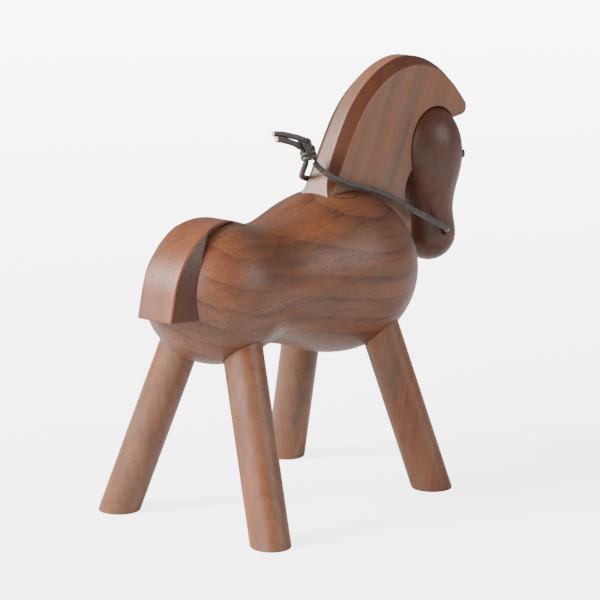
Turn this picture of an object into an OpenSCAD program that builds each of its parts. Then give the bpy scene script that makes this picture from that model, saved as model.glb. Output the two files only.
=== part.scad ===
// Carved wooden toy horse with a leather rein, in millimetres.
// +X is the way the horse faces, +Y is its left side and +Z is up. The origin is on the surface
// that the horse stands on, under the middle of its length and width.

/* [Torso] */
// Radius of the rump
rump_r = 23; // [22:0.5:24]
// Radius of the waist
waist_r = 19.6; // [18:0.1:21]
// Radius of the chest
chest_r = 27.4; // [27:0.1:28.5]
// Distance from the rump's widest place to the waist
rump_to_waist = 19; // [17:0.5:21]
// Distance from the waist to the chest's widest place
waist_to_chest = 39.5; // [38:0.5:41]
// Length of the dome in front of the chest's widest place
chest_dome = 31; // [30:0.5:33]
// Height of the turning axis at the rump
rump_z = 74.9; // [74:0.1:76]
// Droop of the turning axis towards the chest, in degrees
torso_droop = 2.4; // [1:0.1:4]

/* [Legs] */
// Diameter of the four legs
leg_d = 13; // [12:0.5:14]
// Distance between the rear and the front feet
wheelbase = 84.6; // [82:0.2:88]
// Distance from the middle plane to the rear feet
rear_foot_y = 31.9; // [30:0.1:34]
// Distance from the middle plane to the front feet
front_foot_y = 31.4; // [30:0.1:34]
// Height at which the rear legs end inside the torso
rear_leg_top = 67; // [64:0.5:69]
// Height at which the front legs end inside the torso
front_leg_top = 63; // [60:0.5:65]

/* [Neck and mane] */
// Thickness of the neck board
neck_t = 12.4; // [12:0.1:13]
// How much the bevel takes off the back edge, on each side
bevel_across = 3.8; // [3:0.1:4.2]
// How far the bevel reaches down the board's side
bevel_down = 3.2; // [2.8:0.1:3.6]
// Gap between the head and its seat in the neck board
recess_gap = 0.4; // [0.35:0.05:0.5]

/* [Head] */
// Radius of the head at the cheeks
head_r = 14; // [13.8:0.1:14.2]
// Height of the crown above the cheeks, along the head's axis
crown_h = 16.4; // [16:0.1:16.8]
// Smallest radius, between the cheeks and the muzzle
nose_bridge_r = 9.2; // [8.8:0.1:9.4]
// Radius of the muzzle's ball
muzzle_r = 9.5; // [9.2:0.1:10]
// Distance from the cheeks to the centre of the muzzle's ball
cheeks_to_muzzle = 29; // [28:0.5:30]
// Forward tilt of the head's lower end, in degrees
head_tilt = 8; // [7:0.5:9]
// Diameter of the eye pegs
eye_d = 2.9; // [2.5:0.1:3.2]

/* [Tail] */
// Radius of the tail's curved back
tail_r = 25.5; // [25.2:0.1:26.2]
// Half the width of the tail's back
tail_half_w = 6.8; // [6.4:0.1:7.2]
// Height of the tail's lower end
tail_low_z = 70.6; // [69:0.1:73]

/* [Dowels] */
// Diameter of the two dowels in the neck and the one in the head
neck_dowel_d = 6; // [5:0.5:6]
// Diameter of the dowel in the tail
tail_dowel_d = 5; // [4:0.5:5]

/* [Rein] */
// Diameter of the round leather lace
lace_d = 2; // [1.8:0.1:2.2]
// Diameter of the hole through the muzzle
lace_hole_d = 2.6; // [2.4:0.1:3]

/* [Hidden] */
$fn = 96;

// Glue gap on the radius of a dowel, a leg or a peg
glue = 0.03;
// Overshoot of a cutting solid
over = 1;

// Torso: s runs along the turning axis, from the rump's widest place
rump_x = -47.8;
waist_s = rump_to_waist;
chest_s = waist_s + waist_to_chest;

// Legs
rear_foot_x = -59.4;
front_foot_x = rear_foot_x + wheelbase;
rear_lean = [0.165, 0.33];
front_lean = [-0.164, 0.286];

// Neck: the crest is a chain of arcs that meet smoothly, each [turn in degrees, radius]
crest_start = [1.6, 98.7];
crest_heading = 67;
crest_arcs = [[12, 127], [41.7, 42.1], [58.6, 29.5], [1, 780]];
forelock_tip_r = 2.75;
forelock_tip_turn = 123;
recess_back = 0.35;
forelock_root = [69.5, 115.6];
throat_c = [53.8, 92.7];
throat_r = 11;
toe_x = 46.5;
toe_r = 3;
toe_z = 78.5;
bevel_foot_across = 0.6;
bevel_foot_down = 1.5;
bevel_settles = 6;
bevel_fades_at = 60;
bevel_fade_l = 34;
neck_root = crest_start - 10 * [cos(crest_heading), sin(crest_heading)];
neck_lean = 15;
neck_dowel_l = 24;
neck_dowel_rear_at = [12.3, 99.6];
neck_dowel_front_at = [27.8, 94.6];

// Head
head_c = [59.8, 105.2];
nose_bridge_s = 22.5;
// Below 1 the crown is fuller than an ellipse
crown_power = 0.87;
head_dowel_l = 20;
muzzle_hole = [61.7, 78.7];
muzzle_hole_mouth = 1.6;
eye_z = 104.3;
eye_turn = 51;
eye_proud = 0.9;
eye_l = 6;

// Tail
tail_c = [-50.5, 73];
tail_lean = 14;
tail_depth = 12;
tail_flare = 0.45;
// Half the tail's outline seen from above: it narrows towards its upper end
tail_plan = [[-90, 10.5], [-67.5, 10.5], [-64, 8.7], [-58, 6.5], [-44.5, 4.8]];
tail_dowel_l = 12;
tail_dowel_lift = 18;
tail_dowel_out = 2.6;

// Rein: points on the lace's centre line, from the middle of the muzzle back to the knot
rein_right_route = [
    [61.7, 0, 78.7], [61.7, -4, 78.7], [61.7, -8, 78.7], [61.3, -9.8, 78.9], [59.9, -10.9, 79.6],
    [57.5, -11.1, 80.9], [53.8, -10.7, 82.9], [48.3, -10, 85.8], [42.3, -9.3, 88.9], [36.3, -8.9, 92.1],
    [31.1, -8.8, 94.7], [25.9, -8.7, 96.9], [19.9, -8.6, 98.9], [14.1, -8.5, 100.7],
    [8.8, -8.4, 102.3], [5.3, -7.9, 103.6], [2.9, -6.8, 104.9], [1.4, -5.1, 106.4],
    [0.3, -3.2, 108.1], [-0.5, -1.6, 110]];
rein_left_route = [
    [61.7, 0, 78.7], [61.7, 4, 78.7], [61.7, 8, 78.7], [61.3, 9.8, 78.9], [59.9, 10.9, 79.6],
    [57.5, 11.1, 80.9], [53.8, 10.7, 82.9], [48.3, 10, 85.8], [42.3, 9.3, 88.9], [36.3, 8.9, 92.1],
    [31.1, 8.8, 94.7], [25.9, 8.7, 96.9], [19.9, 8.6, 98.9], [14.1, 8.5, 100.5],
    [9.4, 8.4, 101.8], [6, 7.8, 102.8], [3.4, 6.6, 103.8], [1.4, 4.8, 105.2],
    [-0.2, 2.8, 107.2], [-1.2, 0.9, 109.9]];
rein_end_upper_route = [
    [-3.3, -0.6, 117], [-5.7, -0.2, 118.2], [-8.9, 0.6, 119.3], [-12.7, 1.7, 120.3],
    [-16.1, 2.7, 120.8]];
rein_end_lower_route = [
    [-4.6, 0.2, 115.2], [-7.8, 0.1, 116.6], [-10.9, 0.4, 117.8], [-13.9, 0.7, 118.7],
    [-16.6, 0.9, 119.3]];

knot_at = [-0.9, -0.3, 109.6];
knot_lean = -17;
knot_wraps = 4;
knot_pitch = 2;
knot_ring_r = 2;

// Position on a chain of arcs: [x, z, heading] before arc i
function crest_before(i) = i == 0
    ? [crest_start[0], crest_start[1], crest_heading]
    : after_arc(crest_before(i - 1), crest_arcs[i - 1][0], crest_arcs[i - 1][1]);
// The state [x, z, heading] after a clockwise turn on an arc of radius r
function after_arc(p, turn, r) = [
    p[0] + r * (sin(p[2]) - sin(p[2] - turn)),
    p[1] + r * (cos(p[2] - turn) - cos(p[2])),
    p[2] - turn];
function arc_length(turn, r) = r * turn * PI / 180;
function crest_length_before(i) = i == 0
    ? 0
    : crest_length_before(i - 1) + arc_length(crest_arcs[i - 1][0], crest_arcs[i - 1][1]);

// Stations along the crest: [x, z, heading, distance from the foot]
steps_per_arc = 8;
crest_stations = [
    for (i = [0 : len(crest_arcs) - 1], k = [0 : steps_per_arc - (i < len(crest_arcs) - 1 ? 1 : 0)])
        let (turn = crest_arcs[i][0] * k / steps_per_arc, r = crest_arcs[i][1])
        concat(after_arc(crest_before(i), turn, r), crest_length_before(i) + arc_length(turn, r))];
crest_end = crest_before(len(crest_arcs));

function arc_points(c, r, from, to, n) =
    [for (k = [0 : n]) let (a = from + (to - from) * k / n) [c[0] + r * cos(a), c[1] + r * sin(a)]];
function forelock_points() = [
    for (k = [1 : 8])
        let (p = after_arc(crest_end, forelock_tip_turn * k / 8, forelock_tip_r)) [p[0], p[1]]];

// The share of the foot's narrow bevel that is left at distance s along the crest
function flare(s) = exp(-s / bevel_settles);
// The share of the bevel that is left where it runs out towards the forelock's tip
function fade(s) = 1 - pow(max(s - bevel_fades_at, 0) / bevel_fade_l, 1.8);
function bevel(s) = fade(s) * (
    [bevel_across, bevel_down] * (1 - flare(s)) + [bevel_foot_across, bevel_foot_down] * flare(s));

// Smooth step from a to b as t goes from 0 to 1
function ease(a, b, t) = a + (b - a) * (1 - cos(180 * t)) / 2;

torso_profile = concat(
    [for (a = [90 : -6 : 6]) [rump_r * cos(a), -rump_r * sin(a)]],
    [for (t = [0 : 1 / 12 : 0.99]) [ease(rump_r, waist_r, t), waist_s * t]],
    [for (t = [0 : 1 / 20 : 0.99]) [ease(waist_r, chest_r, t), waist_s + waist_to_chest * t]],
    [for (a = [0 : 5 : 90]) [chest_r * cos(a), chest_s + chest_dome * sin(a)]]);

// The head's profile, or one that stands off from it by a gap
function head_profile(gap) = concat(
    [for (a = [90 : -6 : 6])
        [(head_r + gap) * pow(cos(a), crown_power), -(crown_h + gap) * pow(sin(a), crown_power)]],
    [for (t = [0 : 1 / 14 : 0.99]) [ease(head_r, nose_bridge_r, t) + gap, nose_bridge_s * t]],
    [for (t = [0 : 1 / 4 : 0.99])
        [ease(nose_bridge_r, muzzle_r, t) + gap,
            nose_bridge_s + (cheeks_to_muzzle - nose_bridge_s) * t]],
    [for (a = [0 : 6 : 90])
        [(muzzle_r + gap) * cos(a), cheeks_to_muzzle + (muzzle_r + gap) * sin(a)]]);

neck_outline = concat(
    [neck_root],
    [for (p = crest_stations) [p[0], p[1]]],
    forelock_points(),
    [forelock_root, head_c],
    arc_points(throat_c, throat_r, 110, 215, 14),
    [[toe_x, throat_c[1] - 8.4]],
    arc_points([toe_x - toe_r, toe_z], toe_r, 0, -90, 6),
    [[toe_x - 12, toe_z - toe_r]]);

module on_torso_axis() {
    translate([rump_x, 0, rump_z]) rotate([0, 90 + torso_droop, 0]) children();
}

module on_head_axis() {
    translate([head_c[0], 0, head_c[1]]) rotate([0, 180 - head_tilt, 0]) children();
}

module in_side_plane(t) {
    rotate([90, 0, 0]) linear_extrude(t, center = true) children();
}

module torso_form() {
    on_torso_axis() rotate_extrude() polygon(torso_profile);
}

// A straight pin along +Z with chamfered ends
module pin(d, l) {
    chamfer = 0.5;
    rotate_extrude() polygon([[0, 0], [d / 2 - chamfer, 0], [d / 2, chamfer],
        [d / 2, l - chamfer], [d / 2 - chamfer, l], [0, l]]);
}

// Places a child that stands along +Z on a leg's axis, with its start on the floor
module on_leg_axis(x, y, lean) {
    side = y < 0 ? 1 : -1;
    d = [lean[0], side * lean[1], 1];
    translate([x, y, 0]) rotate([0, acos(1 / norm(d)), atan2(d[1], d[0])]) children();
}

function leg_reach(lean, top) = top * norm([lean[0], lean[1], 1]);

module leg_rod(x, y, lean, top, extra) {
    on_leg_axis(x, y, lean) translate([0, 0, -leg_d])
        cylinder(h = leg_reach(lean, top) + leg_d + extra, d = leg_d + 2 * extra);
}

module leg(x, y, lean, top) {
    color("saddlebrown") intersection() {
        leg_rod(x, y, lean, top, 0);
        translate([x, y, 50]) cube([100, 100, 100], center = true);
    }
}

module leg_sockets() {
    for (side = [-1, 1]) {
        leg_rod(rear_foot_x, side * rear_foot_y, rear_lean, rear_leg_top, glue);
        leg_rod(front_foot_x, side * front_foot_y, front_lean, front_leg_top, glue);
    }
}

module on_neck_dowel(at) {
    translate([at[0], 0, at[1]]) rotate([0, neck_lean, 0])
        translate([0, 0, -neck_dowel_l / 2]) children();
}

module on_head_dowel() {
    on_head_axis() translate([0, 0, -crown_h - head_dowel_l / 2]) children();
}

module on_tail_dowel() {
    translate([rump_x, 0, rump_z]) rotate([0, -90 + tail_dowel_lift, 0])
        translate([0, 0, rump_r + tail_dowel_out - tail_dowel_l]) children();
}

// The hole for a pin: its bore, with a little room at each end
module pin_bore(d, l) {
    translate([0, 0, -glue]) cylinder(h = l + 2 * glue, d = d + 2 * glue);
}

module torso() {
    color("sienna") difference() {
        torso_form();
        leg_sockets();
        on_neck_dowel(neck_dowel_rear_at) pin_bore(neck_dowel_d, neck_dowel_l);
        on_neck_dowel(neck_dowel_front_at) pin_bore(neck_dowel_d, neck_dowel_l);
        on_tail_dowel() pin_bore(tail_dowel_d, tail_dowel_l);
    }
}

// One corner of the bevel's cutting wedge at station p: a and b are the cut's edges on the back
// and on the side, both carried on a little, and c is outside the board
function bevel_corners(p) =
    let (out = [-sin(p[2]), 0, cos(p[2])],
         edge = [p[0], neck_t / 2, p[1]],
         cut = bevel(p[3]),
         a = edge - [0, cut[0], 0],
         b = edge - cut[1] * out,
         on = bevel_across * [0, 1, 0] - bevel_down * out)
    [a - 0.3 * on, b + 0.3 * on, edge + [0, 4, 0] + 4 * out];

module bevel_cutter() {
    first = [neck_root[0], neck_root[1], crest_heading, 0];
    last = concat(after_arc(crest_end, 0, 1), crest_length_before(len(crest_arcs)));
    beyond = [last[0] + 6 * cos(last[2]), last[1] + 6 * sin(last[2]), last[2], last[3]];
    stations = concat([first], crest_stations, [beyond]);
    n = len(stations);
    polyhedron(
        points = [for (p = stations) each bevel_corners(p)],
        faces = concat(
            [[0, 1, 2]],
            [for (i = [0 : n - 2], k = [0 : 2])
                [3 * i + k, 3 * i + 3 + k, 3 * i + (k + 1) % 3]],
            [for (i = [0 : n - 2], k = [0 : 2])
                [3 * i + (k + 1) % 3, 3 * i + 3 + k, 3 * i + 3 + (k + 1) % 3]],
            [[3 * n - 1, 3 * n - 2, 3 * n - 3]]));
}

module neck_and_mane() {
    color("peru") difference() {
        in_side_plane(neck_t) polygon(neck_outline);
        bevel_cutter();
        mirror([0, 1, 0]) bevel_cutter();
        translate([-recess_back, 0, 0])
            on_head_axis() rotate_extrude() polygon(head_profile(recess_gap));
        torso_form();
        on_neck_dowel(neck_dowel_rear_at) pin_bore(neck_dowel_d, neck_dowel_l);
        on_neck_dowel(neck_dowel_front_at) pin_bore(neck_dowel_d, neck_dowel_l);
        on_head_dowel() pin_bore(neck_dowel_d, head_dowel_l);
    }
}

module on_eye_axis(side) {
    translate([head_c[0], 0, eye_z]) rotate([0, 0, side * eye_turn]) rotate([0, 90, 0]) children();
}

module head() {
    color("brown") difference() {
        on_head_axis() rotate_extrude() polygon(head_profile(0));
        on_head_dowel() pin_bore(neck_dowel_d, head_dowel_l);
        for (side = [-1, 1]) {
            on_eye_axis(side) translate([0, 0, head_r - eye_l])
                cylinder(h = eye_l + over, d = eye_d + 2 * glue);
            translate([muzzle_hole[0], side * (muzzle_r - muzzle_hole_mouth), muzzle_hole[1]])
                rotate([-90 * side, 0, 0])
                cylinder(h = 3, r1 = lace_hole_d / 2, r2 = lace_hole_d / 2 + 3);
        }
        translate([muzzle_hole[0], 0, muzzle_hole[1]]) rotate([90, 0, 0])
            cylinder(h = 3 * muzzle_r, d = lace_hole_d, center = true);
    }
}

module eye(side) {
    dome_h = 0.7;
    color("black") on_eye_axis(side) translate([0, 0, head_r - eye_l + glue])
        rotate_extrude() polygon(concat(
            [[0, 0], [eye_d / 2, 0]],
            [for (a = [0 : 15 : 90])
                [eye_d / 2 * cos(a), eye_l + eye_proud - dome_h + dome_h * sin(a)]]));
}

// The tail's section: r is the distance from the centre of its curved back
module tail_section() {
    inner_half_w = tail_half_w + tail_flare * tail_depth;
    polygon([[tail_r, -tail_half_w], [tail_r, tail_half_w],
        [tail_r - tail_depth, inner_half_w], [tail_r - tail_depth, -inner_half_w]]);
}

module tail_bar() {
    translate([tail_c[0], 0, tail_c[1]]) rotate([90, 0, 0]) {
        rotate([0, 0, 45]) rotate_extrude(angle = 135 - tail_lean) tail_section();
        rotate([0, 0, 180 - tail_lean]) rotate([-90, 0, 0])
            linear_extrude(2 * tail_depth) tail_section();
    }
}

// The rump's round form, turned about the side-to-side axis, so that no pole falls on the joint.
// Its flats lie just outside the rump, so that the tail never bites into the torso
module rump_cutter() {
    r = (rump_r + glue) / cos(3);
    translate([rump_x, 0, rump_z]) rotate([90, 0, 0]) rotate_extrude()
        polygon(concat([[0, -r * sin(87)]],
            [for (a = [-87 : 6 : 87]) [r * cos(a), r * sin(a)]],
            [[0, r * sin(87)]]));
}

module tail() {
    color("chocolate") difference() {
        intersection() {
            tail_bar();
            translate([0, 0, tail_low_z]) linear_extrude(60)
                polygon(concat(tail_plan,
                    [for (i = [len(tail_plan) - 1 : -1 : 0]) [tail_plan[i][0], -tail_plan[i][1]]]));
        }
        rump_cutter();
        on_tail_dowel() pin_bore(tail_dowel_d, tail_dowel_l);
    }
}

// A round tube along a route: a ring of corners at each point, square to the route there
tube_sides = 8;
function route_heading(route, i) =
    let (n = len(route), d = route[min(i + 1, n - 1)] - route[max(i - 1, 0)]) d / norm(d);
function ring(route, i, r) =
    let (t = route_heading(route, i),
         u = cross(t, [0, 0, 1]) / norm(cross(t, [0, 0, 1])),
         v = cross(t, u))
    [for (k = [0 : tube_sides - 1])
        route[i] + r * (cos(360 * k / tube_sides) * u + sin(360 * k / tube_sides) * v)];

module tube(route, d) {
    n = len(route);
    s = tube_sides;
    polyhedron(
        points = [for (i = [0 : n - 1]) each ring(route, i, d / 2)],
        faces = concat(
            [[for (k = [0 : s - 1]) s - 1 - k]],
            [for (i = [0 : n - 2], k = [0 : s - 1])
                [s * i + k, s * i + (k + 1) % s, s * (i + 1) + (k + 1) % s]],
            [for (i = [0 : n - 2], k = [0 : s - 1])
                [s * i + k, s * (i + 1) + (k + 1) % s, s * (i + 1) + k]],
            [[for (k = [0 : s - 1]) s * (n - 1) + k]]));
}

module lace(route) {
    color("black") tube(route, lace_d);
}

// The knot's turns, as rings stacked on its axis round the two strands
module rein_knot() {
    color("dimgray") translate(knot_at) rotate([0, knot_lean, 0]) {
        for (i = [0 : knot_wraps - 1])
            translate([0, 0, knot_pitch * (i + 0.5)])
                rotate_extrude($fn = 48) translate([knot_ring_r, 0]) circle(lace_d / 2 + 0.05, $fn = 24);
        cylinder(h = knot_pitch * knot_wraps, r = knot_ring_r, $fn = 48);
    }
}

torso();
neck_and_mane();
head();
eye(1);  // eye_left
eye(-1);  // eye_right
tail();
leg(front_foot_x, front_foot_y, front_lean, front_leg_top);  // leg_front_left
leg(front_foot_x, -front_foot_y, front_lean, front_leg_top);  // leg_front_right
leg(rear_foot_x, rear_foot_y, rear_lean, rear_leg_top);  // leg_rear_left
leg(rear_foot_x, -rear_foot_y, rear_lean, rear_leg_top);  // leg_rear_right
color("burlywood") on_neck_dowel(neck_dowel_rear_at) pin(neck_dowel_d, neck_dowel_l);  // neck_dowel_rear
color("burlywood") on_neck_dowel(neck_dowel_front_at) pin(neck_dowel_d, neck_dowel_l);  // neck_dowel_front
color("burlywood") on_head_dowel() pin(neck_dowel_d, head_dowel_l);  // head_dowel
color("burlywood") on_tail_dowel() pin(tail_dowel_d, tail_dowel_l);  // tail_dowel
lace(rein_left_route);  // rein_left
lace(rein_right_route);  // rein_right
rein_knot();
lace(rein_end_upper_route);  // rein_end_upper
lace(rein_end_lower_route);  // rein_end_lower
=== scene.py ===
"""The looks of the wooden toy horse: smooth walnut pieces, glossy eyes and a knotted leather rein."""

import math

import bpy
from mathutils import Matrix, Vector


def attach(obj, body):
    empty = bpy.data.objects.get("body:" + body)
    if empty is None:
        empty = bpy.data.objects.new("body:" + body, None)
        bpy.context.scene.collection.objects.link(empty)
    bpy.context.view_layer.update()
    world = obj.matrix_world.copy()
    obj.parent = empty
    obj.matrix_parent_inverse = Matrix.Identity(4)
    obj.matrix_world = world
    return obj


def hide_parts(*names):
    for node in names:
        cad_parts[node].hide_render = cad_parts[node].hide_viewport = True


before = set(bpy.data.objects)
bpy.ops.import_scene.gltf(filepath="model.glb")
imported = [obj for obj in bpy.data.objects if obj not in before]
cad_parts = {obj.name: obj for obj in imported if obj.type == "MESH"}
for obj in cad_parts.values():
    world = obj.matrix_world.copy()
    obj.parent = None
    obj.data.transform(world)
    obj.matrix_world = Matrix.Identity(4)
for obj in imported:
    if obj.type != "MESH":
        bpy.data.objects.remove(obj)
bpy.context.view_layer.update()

MM = 0.001
BODY = "root"


# ---------------------------------------------------------------- camera
CAMERA_AZIMUTH = -50.94
CAMERA_ELEVATION = 12.81
CAMERA_DISTANCE = 1.0143
CAMERA_TARGET = Vector((0.0041, 0.0079, 0.0619))
CAMERA_LENS = 184.0
SENSOR = 36.0


def make_camera():
    """Stands the camera behind the horse's right side and aims it at the middle of the horse."""
    az = math.radians(CAMERA_AZIMUTH)
    el = math.radians(CAMERA_ELEVATION)
    back = Vector((math.sin(az) * math.cos(el), -math.cos(az) * math.cos(el), math.sin(el)))
    data = bpy.data.cameras.new("camera")
    data.lens = CAMERA_LENS
    data.sensor_width = SENSOR
    data.clip_start = 0.05
    data.clip_end = 20
    camera = bpy.data.objects.new("camera", data)
    camera.location = CAMERA_TARGET + back * CAMERA_DISTANCE
    camera.rotation_mode = "QUATERNION"
    camera.rotation_quaternion = (-back).to_track_quat("-Z", "Y")
    bpy.context.scene.collection.objects.link(camera)
    bpy.context.scene.camera = camera


make_camera()


# ---------------------------------------------------------------- helpers
def link(obj):
    """Adds an object to the scene."""
    bpy.context.scene.collection.objects.link(obj)
    return obj


def mesh_piece(name, points, faces, material):
    """A smooth mesh object in metres from points in millimetres."""
    mesh = bpy.data.meshes.new(name)
    mesh.from_pydata([Vector(p) * MM for p in points], [], faces)
    mesh.polygons.foreach_set("use_smooth", [True] * len(mesh.polygons))
    mesh.update()
    mesh.materials.append(material)
    return link(bpy.data.objects.new(name, mesh))


def stands_for(piece, slot, *nodes):
    """Rides the piece on the horse, in place of its CAD nodes."""
    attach(piece, BODY)
    if nodes:
        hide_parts(*nodes)
    return piece


def weighted_normals(obj):
    """Keeps large flat faces flat next to small rounded edges."""
    modifier = obj.modifiers.new("flat faces stay flat", "WEIGHTED_NORMAL")
    modifier.mode = "FACE_AREA"
    modifier.weight = 100


# ---------------------------------------------------------------- rein
LACE_D = 2.0
REIN_RIGHT = [
    (61.7, 0, 78.7), (61.7, -4, 78.7), (61.7, -8, 78.7), (61.3, -9.8, 78.9), (59.9, -10.9, 79.6),
    (57.5, -11.1, 80.9), (53.8, -10.7, 82.9), (48.3, -10, 85.8), (42.3, -9.3, 88.9),
    (36.3, -8.9, 92.1), (31.1, -8.8, 94.7), (25.9, -8.7, 96.9), (19.9, -8.6, 98.9),
    (14.1, -8.5, 100.7), (8.8, -8.4, 102.3), (5.3, -7.9, 103.6), (2.9, -6.8, 104.9),
    (1.4, -5.1, 106.4), (0.3, -3.2, 108.1), (-0.5, -1.6, 110)]
REIN_LEFT = [
    (61.7, 0, 78.7), (61.7, 4, 78.7), (61.7, 8, 78.7), (61.3, 9.8, 78.9), (59.9, 10.9, 79.6),
    (57.5, 11.1, 80.9), (53.8, 10.7, 82.9), (48.3, 10, 85.8), (42.3, 9.3, 88.9), (36.3, 8.9, 92.1),
    (31.1, 8.8, 94.7), (25.9, 8.7, 96.9), (19.9, 8.6, 98.9), (14.1, 8.5, 100.5),
    (9.4, 8.4, 101.8), (6, 7.8, 102.8), (3.4, 6.6, 103.8), (1.4, 4.8, 105.2),
    (-0.2, 2.8, 107.2), (-1.2, 0.9, 109.9)]
END_UPPER = [
    (-3.3, -0.6, 117), (-5.7, -0.2, 118.2), (-8.9, 0.6, 119.3), (-12.7, 1.7, 120.3),
    (-16.1, 2.7, 120.8)]
END_LOWER = [
    (-4.6, 0.2, 115.2), (-7.8, 0.1, 116.6), (-10.9, 0.4, 117.8), (-13.9, 0.7, 118.7),
    (-16.6, 0.9, 119.3)]
KNOT_AT = Vector((-0.9, -0.3, 109.6))
KNOT_LEAN = -17.0
RING_STEP = 0.25
LACE_SIDES = 20


def smooth_line(corners, step):
    """Points about step apart on a smooth curve through the corners (a Catmull-Rom spline whose
    parameter follows the distance between the corners)."""
    corners = [Vector(c) for c in corners]
    corners = [2 * corners[0] - corners[1]] + corners + [2 * corners[-1] - corners[-2]]
    line = []
    for a, b, c, d in zip(corners, corners[1:], corners[2:], corners[3:]):
        t0, t1 = 0.0, (b - a).length
        t2 = t1 + (c - b).length
        t3 = t2 + (d - c).length
        count = max(1, round((c - b).length / step))
        for k in range(count):
            t = t1 + (t2 - t1) * k / count
            ab = a.lerp(b, (t - t0) / (t1 - t0))
            bc = b.lerp(c, (t - t1) / (t2 - t1))
            cd = c.lerp(d, (t - t2) / (t3 - t2))
            left = ab.lerp(bc, (t - t0) / (t2 - t0))
            right = bc.lerp(cd, (t - t1) / (t3 - t1))
            line.append(left.lerp(right, (t - t1) / (t2 - t1)))
    line.append(corners[-2])
    return line


def lace_radius(s, angle, phase):
    """The lace's radius at distance s and at an angle round it: fine wrinkles run across it."""
    wave = math.sin(7.0 * s + 1.7 * math.sin(0.83 * s + phase) + 0.9 * math.sin(angle + phase))
    fold = max(wave, 0.0) ** 3
    swell = 0.012 * math.sin(1.1 * s + 2 * phase)
    return LACE_D / 2 * (0.985 + swell - 0.05 * fold)


def lace_mesh(name, line, phase, closed=False, cut_end=False, radius=1.0):
    """A lace along a line of points: one ring of corners at each point, with softened ends."""
    count = len(line)
    if closed:
        ahead = [(line[(i + 1) % count] - line[i - 1]).normalized() for i in range(count)]
    else:
        ahead = [(line[min(i + 1, count - 1)] - line[max(i - 1, 0)]).normalized()
                 for i in range(count)]
    side = ahead[0].orthogonal().normalized()
    sides = []
    for i, heading in enumerate(ahead):
        side = (side - heading * side.dot(heading)).normalized()
        sides.append(side)
    twist = 0.0
    if closed:
        turned_side = (sides[-1] - ahead[0] * sides[-1].dot(ahead[0])).normalized()
        twist = math.atan2(turned_side.cross(sides[0]).dot(ahead[0]), turned_side.dot(sides[0]))
    points, s = [], 0.0
    for i in range(count):
        if i:
            s += (line[i] - line[i - 1]).length
        turn = twist * i / count
        other = ahead[i].cross(sides[i])
        ends_in = 1.0 if closed else min(1.0, 0.86 + 0.14 * min(i, count - 1 - i) / 2)
        for k in range(LACE_SIDES):
            angle = 2 * math.pi * k / LACE_SIDES
            r = radius * ends_in * lace_radius(s, angle, phase)
            points.append(line[i] + r * (math.cos(angle + turn) * sides[i]
                                         + math.sin(angle + turn) * other))
    faces = []
    for i in range(count if closed else count - 1):
        a, b = i * LACE_SIDES, (i + 1) % count * LACE_SIDES
        faces += [(a + k, a + (k + 1) % LACE_SIDES, b + (k + 1) % LACE_SIDES, b + k)
                  for k in range(LACE_SIDES)]
    if not closed:
        faces.append(tuple(reversed(range(LACE_SIDES))))
        faces.append(tuple(range(len(points) - LACE_SIDES, len(points))))
    piece = mesh_piece(name, points, faces, LEATHER)
    if cut_end:
        piece.data.materials.append(LEATHER_CUT)
        piece.data.polygons[-1].material_index = 1
        piece.data.polygons[-1].use_smooth = False
    return piece


def in_knot(x, y, z):
    """A place in the knot's own axes, whose third one leans back."""
    return KNOT_AT + Matrix.Rotation(math.radians(KNOT_LEAN), 3, "Y") @ Vector((x, y, z))


def make_knot():
    """The doubled overhand knot: two turns round the strands, and above them two bights that
    hold the ends."""
    turns = [(1.95 * math.cos(a), 1.8 * math.sin(a), 1.15 + 1.75 * a / (2 * math.pi))
             for a in (math.radians(-60 + 20 * k) + 2 * math.pi for k in range(40))]
    low = turns[0][2]
    wraps = [in_knot(x, y, z - low + 1.1) for x, y, z in turns]
    wraps.append(in_knot(0.4, 0.9, 5.2))
    pieces = [lace_mesh("knot_wraps", smooth_line(wraps, RING_STEP), 1.0, radius=0.9)]
    bights = {"knot_bight_near": ((-1.35, -0.1, 6.0), (0.35, 1.8, 0.25), (-0.5, 0.1, 2.35)),
              "knot_bight_far": ((0.55, 0.1, 5.9), (0.9, 1.65, -0.2), (0.35, -0.35, 1.75))}
    for number, (name, (middle, across, up)) in enumerate(bights.items()):
        loop = [in_knot(*(Vector(middle) + math.cos(a) * Vector(across) + math.sin(a) * Vector(up)))
                for a in (2 * math.pi * k / 44 for k in range(44))]
        pieces.append(lace_mesh(name, loop, 2.0 + number, closed=True, radius=0.88))
    for piece in pieces:
        stands_for(piece, "rein_leather")
    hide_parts("rein_knot")
    return pieces


def make_rein():
    """The leather rein: two strands from the muzzle to the knot, the knot, and its two ends."""
    pieces = make_knot()
    for name, route, node in (("rein_end_high", END_UPPER, "rein_end_upper"),
                              ("rein_end_low", END_LOWER, "rein_end_lower")):
        line = smooth_line([tuple(in_knot(0.3, 0, 6.0))] + route, RING_STEP)
        piece = lace_mesh(name, line, 4.0 + len(pieces), cut_end=True)
        pieces.append(stands_for(piece, "rein_leather", node))
    for name, route, node, side in (("rein_strand_right", REIN_RIGHT, "rein_right", -1),
                                    ("rein_strand_left", REIN_LEFT, "rein_left", 1)):
        line = smooth_line(route, RING_STEP)
        piece = stands_for(lace_mesh(name, line, 0.5 * side), "rein_leather", node)


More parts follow.
